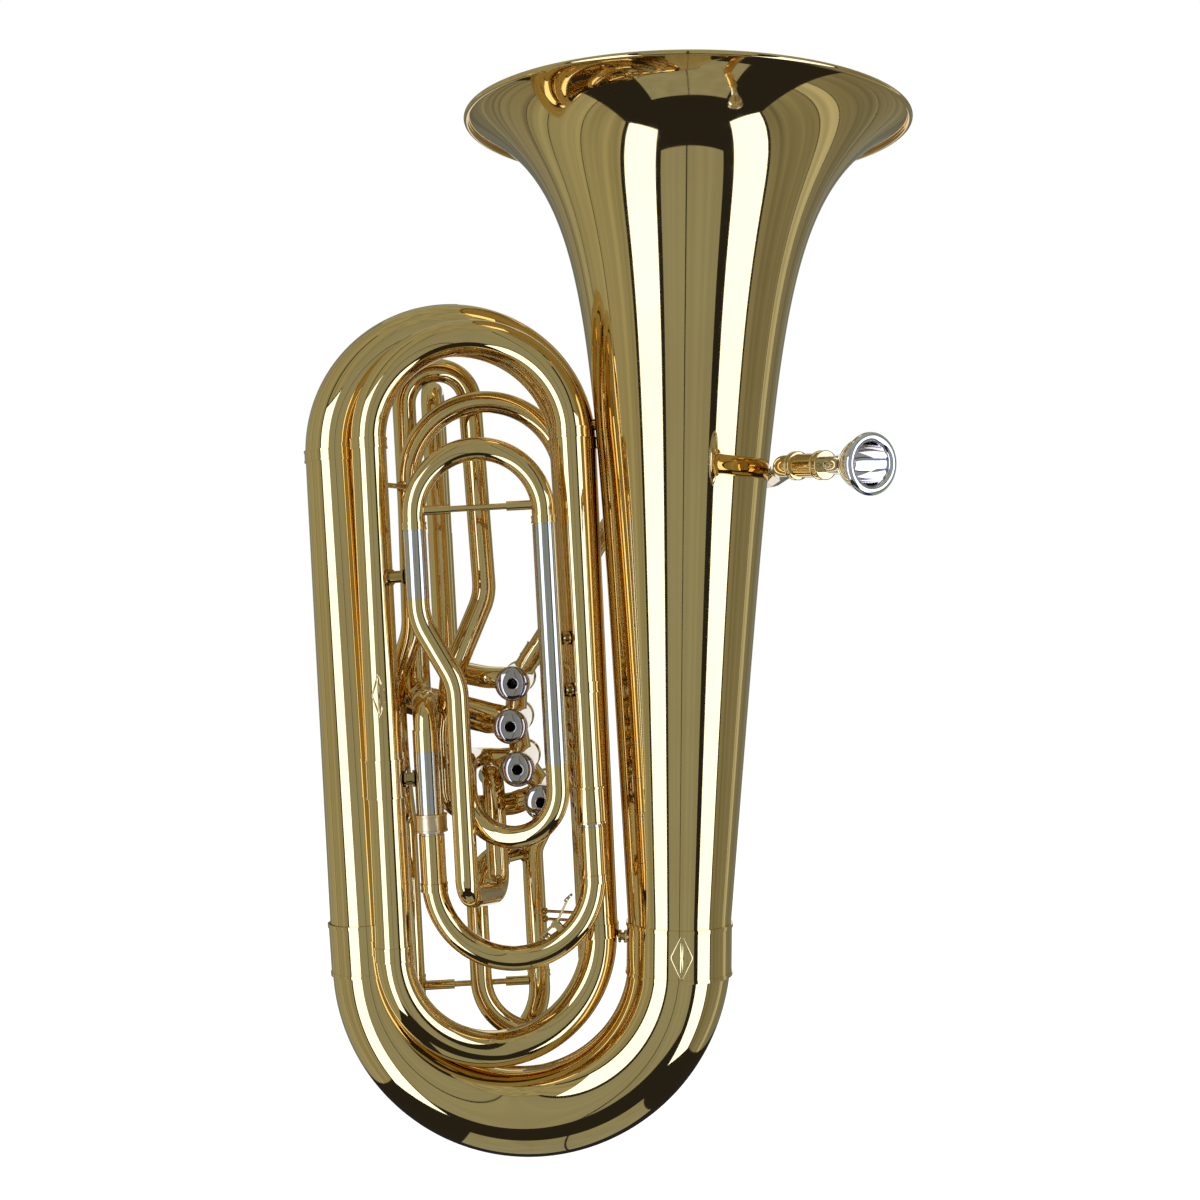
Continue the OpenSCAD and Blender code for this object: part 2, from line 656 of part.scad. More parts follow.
// ---------------------------------------------------------------- first valve slide
module first_valve_tubes() {
    sleeve_r = tube_r + 0.3;
    color(BRASS) in_coil() for (k = [0, 1]) {
        y = k == 0 ? first_front : first_back;
        port_y = level + k * loop_step;
        route([valve_port(0, 175, port_y, port_reach), valve_port(0, 175, port_y, 28),
            [first_u, y, 414], [first_u, y, 432]], [22, 17], tube_r, tube_wall, 0, lap);
        pipe([first_u, y, 432], [first_u, y, first_sleeve_top], sleeve_r, sleeve_r,
            sleeve_r - leg_r - slide_gap);
    }
}

module first_slide_legs() {
    color(NICKEL) in_coil() for (y = [first_front, first_back]) {
        leg([first_u, y, 450], [first_u, y, first_sleeve_top + 0.5]);
    }
}

module first_slide_bow() {
    front = [first_u, first_front, first_bow_w];
    back = [first_u, first_back, first_bow_w];
    color(BRASS) in_coil() {
        u_bow(front, back, [0, 0, 1], tube_r, tube_wall);
        for (p = [front, back]) {
            pipe([p.x, p.y, first_sleeve_top + 0.5], p, tube_r, tube_r, tube_wall);
        }
        brace([first_u, first_front, 600], tube_r - 0.3, [first_u, first_back, 600], tube_r - 0.3, 2.2, 4.5);
    }
}

// ---------------------------------------------------------------- second valve slide
second_dir = [cos(second_slide_angle), 0, sin(second_slide_angle)];
second_front = valve_port(1, LOOP_OUT[1], level, port_reach);
second_knee = valve_port(1, LOOP_IN[1], level + loop_step, 25);

module second_valve_tubes() {
    color(BRASS) in_coil() {
        lapped(second_front, second_front + 8 * second_dir, tube_r, tube_wall, 0, lap);
        sleeve(second_front + 8 * second_dir, second_front + second_sleeve * second_dir);
        route([valve_port(1, LOOP_IN[1], level + loop_step, port_reach), second_knee,
            second_knee + 9 * second_dir], 16, tube_r, tube_wall, 0, lap);
        sleeve(second_knee + 9 * second_dir, second_knee + second_sleeve * second_dir);
    }
}

module second_slide_legs() {
    color(NICKEL) in_coil() for (p = [second_front, second_knee]) {
        leg(p + 14 * second_dir, p + (second_sleeve + 0.5) * second_dir);
    }
}

module second_slide_bow() {
    reach = second_front + second_reach * second_dir;
    across = (second_knee - second_front) - ((second_knee - second_front) * second_dir) * second_dir;
    color(BRASS) in_coil() {
        u_bow(reach, reach + across, second_dir, tube_r, tube_wall);
        pipe(second_front + (second_sleeve + 0.5) * second_dir, reach, tube_r, tube_r, tube_wall);
        pipe(second_knee + (second_sleeve + 0.5) * second_dir, reach + across, tube_r, tube_r, tube_wall);
    }
}

// ---------------------------------------------------------------- third valve slide
module third_valve_tubes() {
    low_right = [third_right.x, -55, 318];
    tail = [third_tail.x, third_tail.y, 318];
    color(BRASS) in_coil() {
        sleeve([third_left.x, -55, third_left_low], [third_left.x, -55, third_ring_w]);
        route([[third_left.x, -55, third_left_low], [third_left.x, -55, 462], [third_s_u, -55, 408],
            [third_s_u, -55, 232], [-12, 30, 220], [-12, 30, 321], valve_port(2, LOOP_OUT[2], level, 34),
            valve_port(2, LOOP_OUT[2], level, port_reach)], [50, 50, 17, 17, 16, 12], tube_r, tube_wall, lap);
        sleeve([third_right.x, -55, 336], [third_right.x, -55, third_ring_w]);
        lapped(low_right, [third_right.x, -55, 336], tube_r, tube_wall, lap, lap);
        u_bow(low_right, tail, [0, 0, -1], tube_r, tube_wall);
        route([tail, [tail.x, tail.y, 340], [tail.x, level + loop_step, 332],
            valve_port(2, LOOP_IN[2], level + loop_step, port_reach)], [16, 16], tube_r, tube_wall, lap);
    }
}

module third_slide_legs() {
    color(NICKEL) in_coil() for (p = [third_left, third_right]) {
        leg([p.x, p.y, third_left_low + 4], [p.x, p.y, third_ring_w + 0.5]);
    }
}

module third_slide_bow() {
    base = third_ring_w + 0.5;
    high_ends = [[third_left.x, -55, third_bow_w], [third_right.x, -55, third_bow_w]];
    color(BRASS) in_coil() {
        u_bow(high_ends[0], high_ends[1], [0, 0, 1], tube_r, tube_wall);
        for (p = [third_left, third_right]) {
            ferrule([p.x, p.y, base], [0, 0, 1], tube_r, 6, 0.5, 0.4);
            pipe([p.x, p.y, base], [p.x, p.y, third_bow_w], tube_r, tube_r, tube_wall);
        }
        rod([third_left.x + tube_r - 0.4, -55, 551], [third_right.x - tube_r + 0.4, -55, 551], 2.6);
        rod([third_left.x + tube_r - 0.4, -55, 551], [third_left.x + 30, -55, 551], 4);
        rod([third_right.x - 30, -55, 551], [third_right.x - tube_r + 0.4, -55, 551], 4);
    }
}

// ---------------------------------------------------------------- fourth valve slide
module fourth_valve_tubes() {
    left_top = [pull_left.x, pull_left.y, 262];
    right_top = [pull_right.x, pull_right.y, 226];
    color(BRASS) in_coil() {
        u_bow(fourth_high_left, fourth_high_right, [0, 0, 1], tube_r, tube_wall);
        route([fourth_high_left, [-75, 28, 452], [-95.5, 42, 404], [-95.5, 46, 338],
            [pull_left.x, pull_left.y, 284], left_top], 40, tube_r, tube_wall, lap, lap);
        sleeve([pull_left.x, pull_left.y, pull_ring_w], left_top);
        lapped(fourth_low_right, fourth_high_right, tube_r, tube_wall, lap, lap);
        u_bow(fourth_low_right, fourth_low_left, [0, 0, -1], tube_r, tube_wall);
        route([fourth_low_left, [-33.5, 50, 240], valve_port(3, LOOP_IN[3], level + loop_step, 40),
            valve_port(3, LOOP_IN[3], level + loop_step, port_reach)], [30, 17], tube_r, tube_wall, lap);
        route([right_top, [pull_right.x, pull_right.y, 250], valve_port(3, 270, level, 26),
            valve_port(3, 270, level, port_reach)], [20, 14], tube_r, tube_wall, lap);
        sleeve([pull_right.x, pull_right.y, pull_ring_w], right_top);
    }
}

module fourth_slide_legs() {
    color(NICKEL) in_coil() for (p = [pull_left, pull_right]) {
        leg([p.x, p.y, pull_ring_w - 0.5], [p.x, p.y, 222]);
    }
}

module fourth_slide_bow() {
    top = pull_ring_w - 0.5;
    color(BRASS) in_coil() {
        u_bow([pull_left.x, 75, pull_bow_w], [pull_right.x, 75, pull_bow_w], [0, 0, -1], tube_r, tube_wall);
        for (p = [pull_left, pull_right]) {
            pipe([p.x, p.y, pull_bow_w], [p.x, p.y, top], tube_r, tube_r, tube_wall);
            ferrule([p.x, p.y, top - 6], [0, 0, 1], tube_r, 6, 0.5, 0.4);
        }
        rod([pull_left.x + tube_r - 0.4, 75, 132], [pull_right.x - tube_r + 0.4, 75, 132], 2.6);
        rod([pull_left.x + tube_r - 0.4, 75, 132], [pull_left.x + 36, 75, 132], 4.2);
        rod([pull_right.x - 30, 75, 132], [pull_right.x - tube_r + 0.4, 75, 132], 4.2);
    }
}

// ---------------------------------------------------------------- one line for each node
bell();
bell_rim_wire();
bell_ferrule();
bottom_bow();
left_branch_ferrule();
left_branch();
top_bow();
right_branch();
second_bottom_bow();
second_left_branch();
second_top_bow();
second_right_branch();
branch_ferrules();
guard_plates();
branch_braces();
bell_braces();
strap_rings();
main_slide_sleeves();
main_slide_collar();
main_slide_legs();
main_slide_bow();
water_key_saddle();
water_key_lever();
water_key_cork();
water_key_spring();
return_loop();
for (i = [0:3]) {
    valve_casing(i);
    piston(i);
    valve_spring(i);
    finger_button(i);
}
bottom_valve_caps();
top_valve_caps();
valve_felts();
leadpipe();
mouthpiece_receiver();
mouthpiece();
first_valve_tubes();
first_slide_legs();
first_slide_bow();
second_valve_tubes();
second_slide_legs();
second_slide_bow();
third_valve_tubes();
third_slide_legs();
third_slide_bow();
fourth_valve_tubes();
fourth_slide_legs();
fourth_slide_bow();
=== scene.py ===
"""Looks of the four-valve tuba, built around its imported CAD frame. Metres, +Z up, camera looking along +Y."""

import json
import math

import bmesh
import bpy
from mathutils import Matrix, Vector


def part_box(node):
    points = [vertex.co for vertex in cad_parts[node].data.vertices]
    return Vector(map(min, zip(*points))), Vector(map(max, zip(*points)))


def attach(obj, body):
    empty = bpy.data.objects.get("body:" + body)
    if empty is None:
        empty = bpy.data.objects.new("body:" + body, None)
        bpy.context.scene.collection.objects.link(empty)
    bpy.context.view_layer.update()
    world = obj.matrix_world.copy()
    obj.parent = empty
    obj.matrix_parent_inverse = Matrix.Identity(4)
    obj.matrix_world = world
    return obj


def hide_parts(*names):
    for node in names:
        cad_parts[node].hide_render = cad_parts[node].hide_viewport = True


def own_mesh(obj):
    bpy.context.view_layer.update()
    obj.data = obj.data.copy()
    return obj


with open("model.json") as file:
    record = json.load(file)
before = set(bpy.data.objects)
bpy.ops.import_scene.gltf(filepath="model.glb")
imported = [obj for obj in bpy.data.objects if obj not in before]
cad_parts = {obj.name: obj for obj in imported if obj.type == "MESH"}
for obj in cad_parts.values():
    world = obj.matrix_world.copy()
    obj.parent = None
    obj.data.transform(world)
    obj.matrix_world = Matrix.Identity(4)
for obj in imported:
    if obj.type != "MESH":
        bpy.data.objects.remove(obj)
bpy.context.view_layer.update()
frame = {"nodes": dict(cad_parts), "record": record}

# ------------------------------------------------------------------ camera
CAMERA_AT = Vector((0.0597, -1.410, 0.4746))
CAMERA_ROLL = math.radians(0.527)
FOCAL_MM = 49.5
SENSOR_MM = 36.0


def make_camera():
    """Looks level along +Y, rolled by half a degree."""
    data = bpy.data.cameras.new("camera")
    data.lens = FOCAL_MM
    data.sensor_width = SENSOR_MM
    camera = bpy.data.objects.new("camera", data)
    bpy.context.scene.collection.objects.link(camera)
    level = Matrix.Rotation(math.radians(90), 4, "X")
    roll = Matrix.Rotation(-CAMERA_ROLL, 4, "Y")
    camera.matrix_world = Matrix.Translation(CAMERA_AT) @ roll @ level
    bpy.context.scene.camera = camera


# ------------------------------------------------------------------ materials
MIX_FIRST, MIX_SECOND, MIX_RESULT = 6, 7, 2  # the colour sockets of a Mix node


class Nodes:
    """A short way to build the node tree of one material."""

    def __init__(self, name):
        self.material = bpy.data.materials.new(name)
        self.material.use_nodes = True
        self.tree = self.material.node_tree
        self.shader = self.tree.nodes["Principled BSDF"]

    def add(self, kind, links=None, settings=None, **values):
        node = self.tree.nodes.new(kind)
        for key, value in (settings or {}).items():
            setattr(node, key, value)
        for key, value in values.items():
            node.inputs[key.replace("_", " ")].default_value = value
        for socket, source in (links or {}).items():
            self.tree.links.new(source, node.inputs[socket])
        return node

    def set(self, **values):
        for key, value in values.items():
            self.shader.inputs[key.replace("_", " ")].default_value = value

    def link(self, source, socket):
        self.tree.links.new(source, self.shader.inputs[socket])

    def noise(self, place, scale, detail=2.0, rough=0.5):
        node = self.add("ShaderNodeTexNoise", {"Vector": place}, Scale=scale, Detail=detail, Roughness=rough)
        return node.outputs["Fac"]

    def remap(self, source, low, high, to_low, to_high):
        node = self.add("ShaderNodeMapRange", {"Value": source})
        for socket, value in zip(("From Min", "From Max", "To Min", "To Max"), (low, high, to_low, to_high)):
            node.inputs[socket].default_value = value
        return node.outputs["Result"]

    def blend_colours(self, factor, first, second):
        node = self.add("ShaderNodeMix", {"Factor": factor}, {"data_type": "RGBA"})
        node.inputs[MIX_FIRST].default_value = (*first, 1)
        node.inputs[MIX_SECOND].default_value = (*second, 1)
        return node.outputs[MIX_RESULT]


def polished_metal(name, colour, second_colour, roughness, smudge, coat=0.0, ripple=0.02):
    """Metal with slow colour drift, rougher wiping marks and a faint hand-worked ripple."""
    n = Nodes(name)
    place = n.add("ShaderNodeTexCoord").outputs["Object"]
    drift = n.noise(place, 9.0, 3.0)
    n.link(n.blend_colours(n.remap(drift, 0.35, 0.65, 0, 1), colour, second_colour), "Base Color")
    marks = n.noise(place, 60.0, 6.0, 0.65)
    n.link(n.remap(marks, 0.45, 0.75, roughness, roughness + smudge), "Roughness")
    bump = n.add("ShaderNodeBump", {"Height": n.noise(place, 16.0, 1.0)}, Strength=ripple, Distance=0.001)
    n.link(bump.outputs["Normal"], "Normal")
    n.set(Metallic=1.0, Coat_Weight=coat, Coat_Roughness=0.03)
    return n.material


def make_materials():
    return {
        "lacquered_brass": polished_metal(
            "lacquered_brass", (0.86, 0.62, 0.26), (0.83, 0.58, 0.24), 0.035, 0.03, coat=0.25
        ),
        "dark_brass": polished_metal(
            "dark_brass", (0.66, 0.47, 0.18), (0.58, 0.40, 0.15), 0.07, 0.08, coat=0.2
        ),
        "nickel_silver": polished_metal(
            "nickel_silver", (0.72, 0.65, 0.56), (0.66, 0.60, 0.52), 0.07, 0.07
        ),
        "silver_plate": polished_metal("silver_plate", (0.90, 0.85, 0.82), (0.85, 0.80, 0.77), 0.04, 0.05),
        # A darker copy of silver plate: its colour paints the dark reflection on the valve caps.
        "dark_nickel": polished_metal("dark_nickel", (0.60, 0.53, 0.50), (0.56, 0.49, 0.46), 0.04, 0.05),
        "spring_steel": polished_metal("spring_steel", (0.60, 0.60, 0.62), (0.5, 0.5, 0.52), 0.2, 0.1),
        "satin_brass": polished_metal("satin_brass", (0.92, 0.68, 0.38), (0.86, 0.62, 0.33), 0.28, 0.08),
        "felt": polished_metal("felt", (0.02, 0.02, 0.02), (0.03, 0.03, 0.03), 0.9, 0.05),
        "cork": polished_metal("cork", (0.45, 0.28, 0.14), (0.33, 0.2, 0.1), 0.8, 0.1),
    }


def dress_frame():
    slots = {part["node"]: part["material_slot"] for part in frame["record"]["subparts"]}
    for node, obj in frame["nodes"].items():
        obj.data.materials.clear()
        obj.data.materials.append(materials[slots[node]])


# ------------------------------------------------------------------ smooth sheet-metal pieces
MM = 0.001
SHARP_EDGE = math.radians(35)

# Driving sizes of the horn, in millimetres, as the CAD model has them
THROAT_R = 44.0
LEFT_LOW_R = 31.0
LEFT_HIGH_R = 24.8
RIGHT_HIGH_R = 20.2
BELL_TAPER = 0.0679
TAPER_START = 201.0
FLARE_LENGTH = 58.7
FLARE_POWER = 0.83
BELL_WALL = 1.0
BRANCH_WALL = 0.9
COIL_LEAN = math.radians(3.6)
LEFT_LEAN = math.radians(4.4)
LEFT_LENGTH = 438.0
RIGHT_U, RIGHT_Y = 73.2, 12.0
BRANCH_PLATE_AT = (-96.6, -37.4, 401.0)
BRANCH_PLATE_R = 15.05
FERRULE_THICK = 0.95
VALVES = ("first", "second", "third", "fourth")
CAP_R, CAP_BORE, CAP_FLOOR = 14.9, 13.82, 7.02
MOUTH_POINT = (258.0, -210.0, 575.5)
MOUTHPIECE_LENGTH = 80.0
RECEIVER_BACK = 96.0
LEAD_R = 8.6
MAIN_LEFT_U, MAIN_RIGHT_U, MAIN_Y = -61.0, 72.0, -37.0
MAIN_BOW_W, MAIN_SLEEVE_W = 242.5, 285.0
MAIN_NICKEL_LOW_W, MAIN_NICKEL_HIGH_W = 300.5, 352.0
SLIDE_GAP = 2.2
THIRD_LEFT_U, THIRD_RIGHT_U, THIRD_Y, THIRD_RING_W = -60.0, 46.8, -55.0, 535.0
TOWARDS_CAMERA = Vector((0, -1, 0))


def joint_row(name):
    """A joint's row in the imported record."""
    return next(row for row in frame["record"]["behaviour"]["joints"] if row["name"] == name)


def middle_of(node):
    """Centre of a CAD node's box."""
    low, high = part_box(node)
    return (low + high) / 2


def mesh_piece(name, points, faces, slot, node=None, body="instrument"):
    """A smooth-shaded piece that rides on a body, and stands for a CAD node where one is named."""
    mesh = bpy.data.meshes.new(name)
    mesh.from_pydata([tuple(p) for p in points], [], faces)
    work = bmesh.new()
    work.from_mesh(mesh)
    bmesh.ops.recalc_face_normals(work, faces=work.faces)
    work.to_mesh(mesh)
    work.free()
    mesh.polygons.foreach_set("use_smooth", [True] * len(mesh.polygons))
    mesh.set_sharp_from_angle(angle=SHARP_EDGE)
    mesh.materials.append(materials[slot])
    piece = bpy.data.objects.new(name, mesh)
    bpy.context.scene.collection.objects.link(piece)
    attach(piece, body)
    if node:
        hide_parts(node)
    return piece


def ring_faces(rings, sides, closed):
    """Quads between neighbouring rings of points, and from the last ring to the first where closed."""
    last = rings if closed else rings - 1
    faces = []
    for k in range(last):
        here, there = k * sides, (k + 1) % rings * sides
        for j in range(sides):
            q = (j + 1) % sides
            faces.append((here + j, here + q, there + q, there + j))
    return faces


def turned(name, profile, start, axis, slot, node=None, body="instrument", sides=96):
    """A lathe-turned piece. The closed profile is (radius, distance along the axis) in millimetres."""
    x_dir = axis.orthogonal().normalized()
    y_dir = axis.cross(x_dir)
    points = []
    for r, along in profile:
        for j in range(sides):
            turn = 2 * math.pi * j / sides
            out = math.cos(turn) * x_dir + math.sin(turn) * y_dir
            points.append(start + along * MM * axis + r * MM * out)
    return mesh_piece(name, points, ring_faces(len(profile), sides, closed=True), slot, node, body)


def arc(centre, radii, first, last, steps):
    """Points of a round or oval arc in a lathe profile, with angles in degrees."""
    turns = [math.radians(first + (last - first) * k / steps) for k in range(steps + 1)]
    return [(centre[0] + radii[0] * math.cos(a), centre[1] + radii[1] * math.sin(a)) for a in turns]


def catmull_rom(p, q, r, w, t):
    """The curve between q and r, with p before them and w after them."""
    square = 2 * p - 5 * q + 4 * r - w
    cube = 3 * q - p - 3 * r + w
    return 0.5 * (2 * q + (r - p) * t + square * t**2 + cube * t**3)


def smooth_through(points, steps=6):
    """A Catmull-Rom curve through the points of a lathe profile."""
    padded = [points[0], *points, points[-1]]
    curve = []
    for a, b, c, d in zip(padded, padded[1:], padded[2:], padded[3:]):
        for k in range(steps):
            curve.append(tuple(catmull_rom(*span, k / steps) for span in zip(a, b, c, d)))
    return [*curve, points[-1]]


def sleeve(name, low, high, r, wall, slot, body="instrument"):
    """A straight tube with softly rounded ends."""
    run = high - low
    length = run.length / MM
    soft = 0.3
    profile = [
        (r - wall, 0), (r - soft, 0), (r, soft), (r, length - soft), (r - soft, length), (r - wall, length)
    ]
    return turned(name, profile, low, run.normalized(), slot, body=body)


def make_bell():
    """The whole bell as one lathe-turned sheet, from its tail to the lip inside the rim wire."""
    low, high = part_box("bell")
    axis = (low + high) / 2
    lip, tail = high.z / MM, low.z / MM
    rise = (high.x - low.x) / 2 / MM - THROAT_R - BELL_TAPER * (lip - TAPER_START)

    def radius(z):
        return (
            THROAT_R
            + BELL_TAPER * max(0.0, z - TAPER_START)
            + rise * math.exp(-(((lip - min(z, lip)) / FLARE_LENGTH) ** FLARE_POWER))
        )

    steps, sides = 150, 192
    heights = [TAPER_START + (lip - TAPER_START) * (1 - (1 - i / steps) ** 2) for i in range(steps + 1)]
    outside = [(THROAT_R, tail), (THROAT_R, (tail + TAPER_START) / 2)] + [(radius(z), z) for z in heights]
    inside = []
    for z in reversed(heights):
        above, below = min(z + 0.5, lip), z - 0.5
        slope = (radius(above) - radius(below)) / (above - below)
        set_back = BELL_WALL / math.hypot(1, slope)
        inside.append((radius(z) - set_back, z + set_back * slope))
    inside[0] = (inside[0][0], lip - 0.05)
    inside.append((THROAT_R - BELL_WALL, tail))
    points = []
    for r, z in outside + inside:
        for j in range(sides):
            turn = 2 * math.pi * j / sides
            points.append((axis.x + r * MM * math.cos(turn), axis.y + r * MM * math.sin(turn), z * MM))
    faces = ring_faces(len(outside) + len(inside), sides, closed=True)
    mesh_piece("bell_sheet", points, faces, "lacquered_brass", "bell")


def tapered_bow(centre, x_dir, z_dir, radius, sweep, r0, r1, wall):
    """Points and faces, in millimetres, of a hollow bow swept from x_dir towards -z_dir."""
    y_dir = x_dir.cross(z_dir)
    rings, sides = 120, 72
    points = []
    for set_in in (0.0, wall):
        order = range(rings) if set_in == 0 else reversed(range(rings))
        for k in order:
            part = k / (rings - 1)
            a = -sweep * part
            r = r0 + (r1 - r0) * part - set_in
            out = math.cos(a) * x_dir + math.sin(a) * z_dir
            for j in range(sides):
                b = 2 * math.pi * j / sides
                points.append(centre + (radius + r * math.cos(b)) * out + r * math.sin(b) * y_dir)
    return points, ring_faces(2 * rings, sides, closed=True)


def make_bottom_bow():
    """The large bow under the bell: it meets the bell tail, and its lowest point is the origin."""
    bell_low, bell_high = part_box("bell")
    axis = (bell_low + bell_high) / 2
    radius = bell_low.z - (THROAT_R + LEFT_LOW_R) / 2 * MM
    centre = Vector((axis.x - radius, axis.y, bell_low.z))
    points, faces = tapered_bow(
        centre / MM, Vector((1, 0, 0)), Vector((0, 0, 1)), radius / MM, math.pi - LEFT_LEAN,
        THROAT_R, LEFT_LOW_R, BRANCH_WALL,
    )
    points = [p * MM for p in points]
    mesh_piece("bottom_bow_sheet", points, faces, "lacquered_brass", "bottom_bow")


def in_coil(u, y, w):
    """Row point of a point in the coil's leaned frame, given in millimetres."""
    c, sn = math.cos(COIL_LEAN), math.sin(COIL_LEAN)
    return Vector((u * c - w * sn, y, u * sn + w * c)) * MM


def make_top_bow():
    """The large bow on top: it joins the left branch to the thinner right branch."""
    bell_low, bell_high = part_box("bell")
    axis_x = (bell_low.x + bell_high.x) / 2 / MM
    tail = bell_low.z / MM
    bow_r = tail - (THROAT_R + LEFT_LOW_R) / 2
    high_x = axis_x - bow_r * (1 + math.cos(LEFT_LEAN)) - LEFT_LENGTH * math.sin(LEFT_LEAN)
    high_z = tail - bow_r * math.sin(LEFT_LEAN) + LEFT_LENGTH * math.cos(LEFT_LEAN)
    left = Vector((
        high_x * math.cos(COIL_LEAN) + high_z * math.sin(COIL_LEAN), 0,
        high_z * math.cos(COIL_LEAN) - high_x * math.sin(COIL_LEAN),
    ))
    right = Vector((RIGHT_U, RIGHT_Y, left.z))
    span = left - right
    points, faces = tapered_bow(
        (left + right) / 2, span.normalized(), Vector((0, 0, -1)), span.length / 2, math.pi,
        LEFT_HIGH_R, RIGHT_HIGH_R, BRANCH_WALL,
    )
    mesh_piece("top_bow_sheet", [in_coil(*p) for p in points], faces, "lacquered_brass", "top_bow")


def plate_lift(u, share):
    """Height of a guard plate: a flat sheet, an edge near the outline, and a crease down the middle."""
    thick, edge, crease = 0.7, 0.35, 0.5
    edge_at, edge_width, crease_width, crease_end = 0.9, 0.1, 0.16, 0.85
    lift = thick + edge * max(0.0, 1 - abs(share - edge_at) / edge_width)
    if share < crease_end:
        lift += crease * max(0.0, 1 - abs(u) / crease_width)
    return lift


def make_guard_plate(name, centre, turn, r, half_w, half_h):
    """A diamond plate curved round an upright tube of radius r."""
    rings, sides, sunk = 14, 64, 0.1
    levels = []
    for k in range(rings + 1):
        share = k / rings
        for j in range(sides):
            a = 2 * math.pi * (j + 0.5) / sides
            reach = share / (abs(math.cos(a)) + abs(math.sin(a)))
            u, v = reach * math.cos(a), reach * math.sin(a)
            levels.append((u * half_w, v * half_h, r + plate_lift(u, share)))
    levels += [(u, v, r - sunk) for u, v, _ in levels[-sides:]]
    points = []
    for u, v, out in levels:
        a = u / r
        points.append(centre + turn @ Vector((out * math.sin(a), -out * math.cos(a), v)) * MM)
    faces = ring_faces(rings + 2, sides, closed=False)
    faces.append(tuple(reversed(range(sides))))
    back = (rings + 1) * sides
    faces.append(tuple(range(back, back + sides)))
    mesh_piece(name, points, faces, "lacquered_brass", "guard_plates")


def make_guard_plates():
    upright = Matrix.Identity(3)
    lean = Matrix.Rotation(-COIL_LEAN, 3, "Y")
    ferrule_r = THROAT_R + FERRULE_THICK
    make_guard_plate("bell_guard_plate", middle_of("bell_ferrule"), upright, ferrule_r, 9.5, 19.5)
    make_guard_plate("branch_guard_plate", in_coil(*BRANCH_PLATE_AT), lean, BRANCH_PLATE_R, 6.0, 19.0)


def make_valve_caps():
    """Domed bottom caps with a round vent hole, turned as single pieces."""
    skirt, dome, hole, lip, groove = 9.1, 4.9, 4.4, 0.5, 0.35
    depth = skirt + dome
    profile = [(CAP_BORE, 0), (CAP_R, 0), (CAP_R, 1.6), (CAP_R - groove, 2.0), (CAP_R - groove, 2.6)]
    profile.append((CAP_R, 3.0))
    profile += arc((hole, skirt), (CAP_R - hole, dome), 0, 84, 30)
    profile += [(hole + lip, depth - 0.1), (hole, depth - lip), (hole, CAP_FLOOR), (CAP_BORE, CAP_FLOOR)]
    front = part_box("bottom_valve_caps")[0].y
    for count in VALVES:
        middle = middle_of(f"{count}_piston")
        base = Vector((middle.x, front + depth * MM, middle.z))
        name = f"{count}_bottom_cap"
        cap = turned(name, profile, base, TOWARDS_CAMERA, "silver_plate", "bottom_valve_caps")
        # Painted dark reflection: the caps take the darker copy of silver plate instead of their own silver.
        cap.data.materials[0] = materials["dark_nickel"]


def coil_of_wire(low, high, wire_r, turns):
    """Points and faces of a round wire wound about the Y axis inside a box."""
    steps, sides = 48, 12
    middle = (low + high) / 2
    coil_r = (high.x - low.x) / 2 / MM - wire_r
    rise = (high.y - low.y) / MM - 2 * wire_r
    rings = turns * steps + 1
    points = []
    for k in range(rings):
        a = 2 * math.pi * k / steps
        out = Vector((math.cos(a), 0, math.sin(a)))
        y = low.y + (wire_r + rise * k / (rings - 1)) * MM
        centre = Vector((middle.x, y, middle.z)) + coil_r * MM * out
        for j in range(sides):
            b = 2 * math.pi * j / sides
            points.append(centre + wire_r * MM * (math.cos(b) * out + math.sin(b) * Vector((0, 1, 0))))
    ends = [tuple(range(sides)), tuple(range((rings - 1) * sides, rings * sides))]
    return points, ring_faces(rings, sides, closed=False) + ends


def make_valve_springs():
    """A coil spring under each piston."""
    for count in VALVES:
        node, joint = f"{count}_valve_spring", f"{count}_valve_press"
        low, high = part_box(node)
        points, faces = coil_of_wire(low, high, wire_r=0.8, turns=7)
        spring = mesh_piece(f"{count}_coil_spring", points, faces, "spring_steel", node)
        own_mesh(spring)


def on_mouth_axis(back):
    """A point this many millimetres behind the mouthpiece's rim, and the axis towards the rim."""
    axis = Vector(joint_row("mouthpiece_pull")["axis"]).normalized()
    return Vector(MOUTH_POINT) * MM - back * MM * axis, axis


def make_mouthpiece():
    """Shank, cup and rim turned as one piece."""
    start, axis = on_mouth_axis(MOUTHPIECE_LENGTH)
    shank = [(3.9, 0.0), (6.4, 0.0), (6.55, 4.0)]
    body = smooth_through([
        (6.8, 24), (7.0, 34), (7.9, 42), (9.6, 48.5), (13.0, 54.5), (17.2, 60.5), (19.6, 66.5), (20.2, 71.0),
    ])
    rim = arc((19.5, 76.2), (3.7, 3.7), -80, 172, 28)
    cup = arc((3.9, 75.0), (11.9, 27.0), 0, -90, 26)
    outline = shank + body + rim + cup
    turned("mouthpiece_silver", outline, start, axis, "silver_plate", "mouthpiece", "mouthpiece")


def receiver_band(r, start, length):
    """Outline of a band with a rounded bead at each end."""
    bead, groove = r + 2.0, r + 1.2
    outline = []
    for centre in (start + 0.8, start + length - 0.8):
        outline += arc((groove, centre), (bead - groove, 0.8), -90, 90, 10)
    return outline


def make_receiver():
    """The mouthpiece's socket, turned as one piece with its two bands."""
    start, axis = on_mouth_axis(RECEIVER_BACK)
    r, bore = LEAD_R + 0.6, LEAD_R - 1.75
    outline = [(r, 0.0), *receiver_band(r, 0.0, 6.0), (r, 6.1)]
    outline += [(r, 31.9), *receiver_band(r, 32.0, 8.0), (r, 40.0)]
    outline += [(bore, 40.0), (bore, 1.0), (r - 0.1, 1.0)]
    turned("mouthpiece_socket", outline, start, axis, "lacquered_brass", "mouthpiece_receiver")


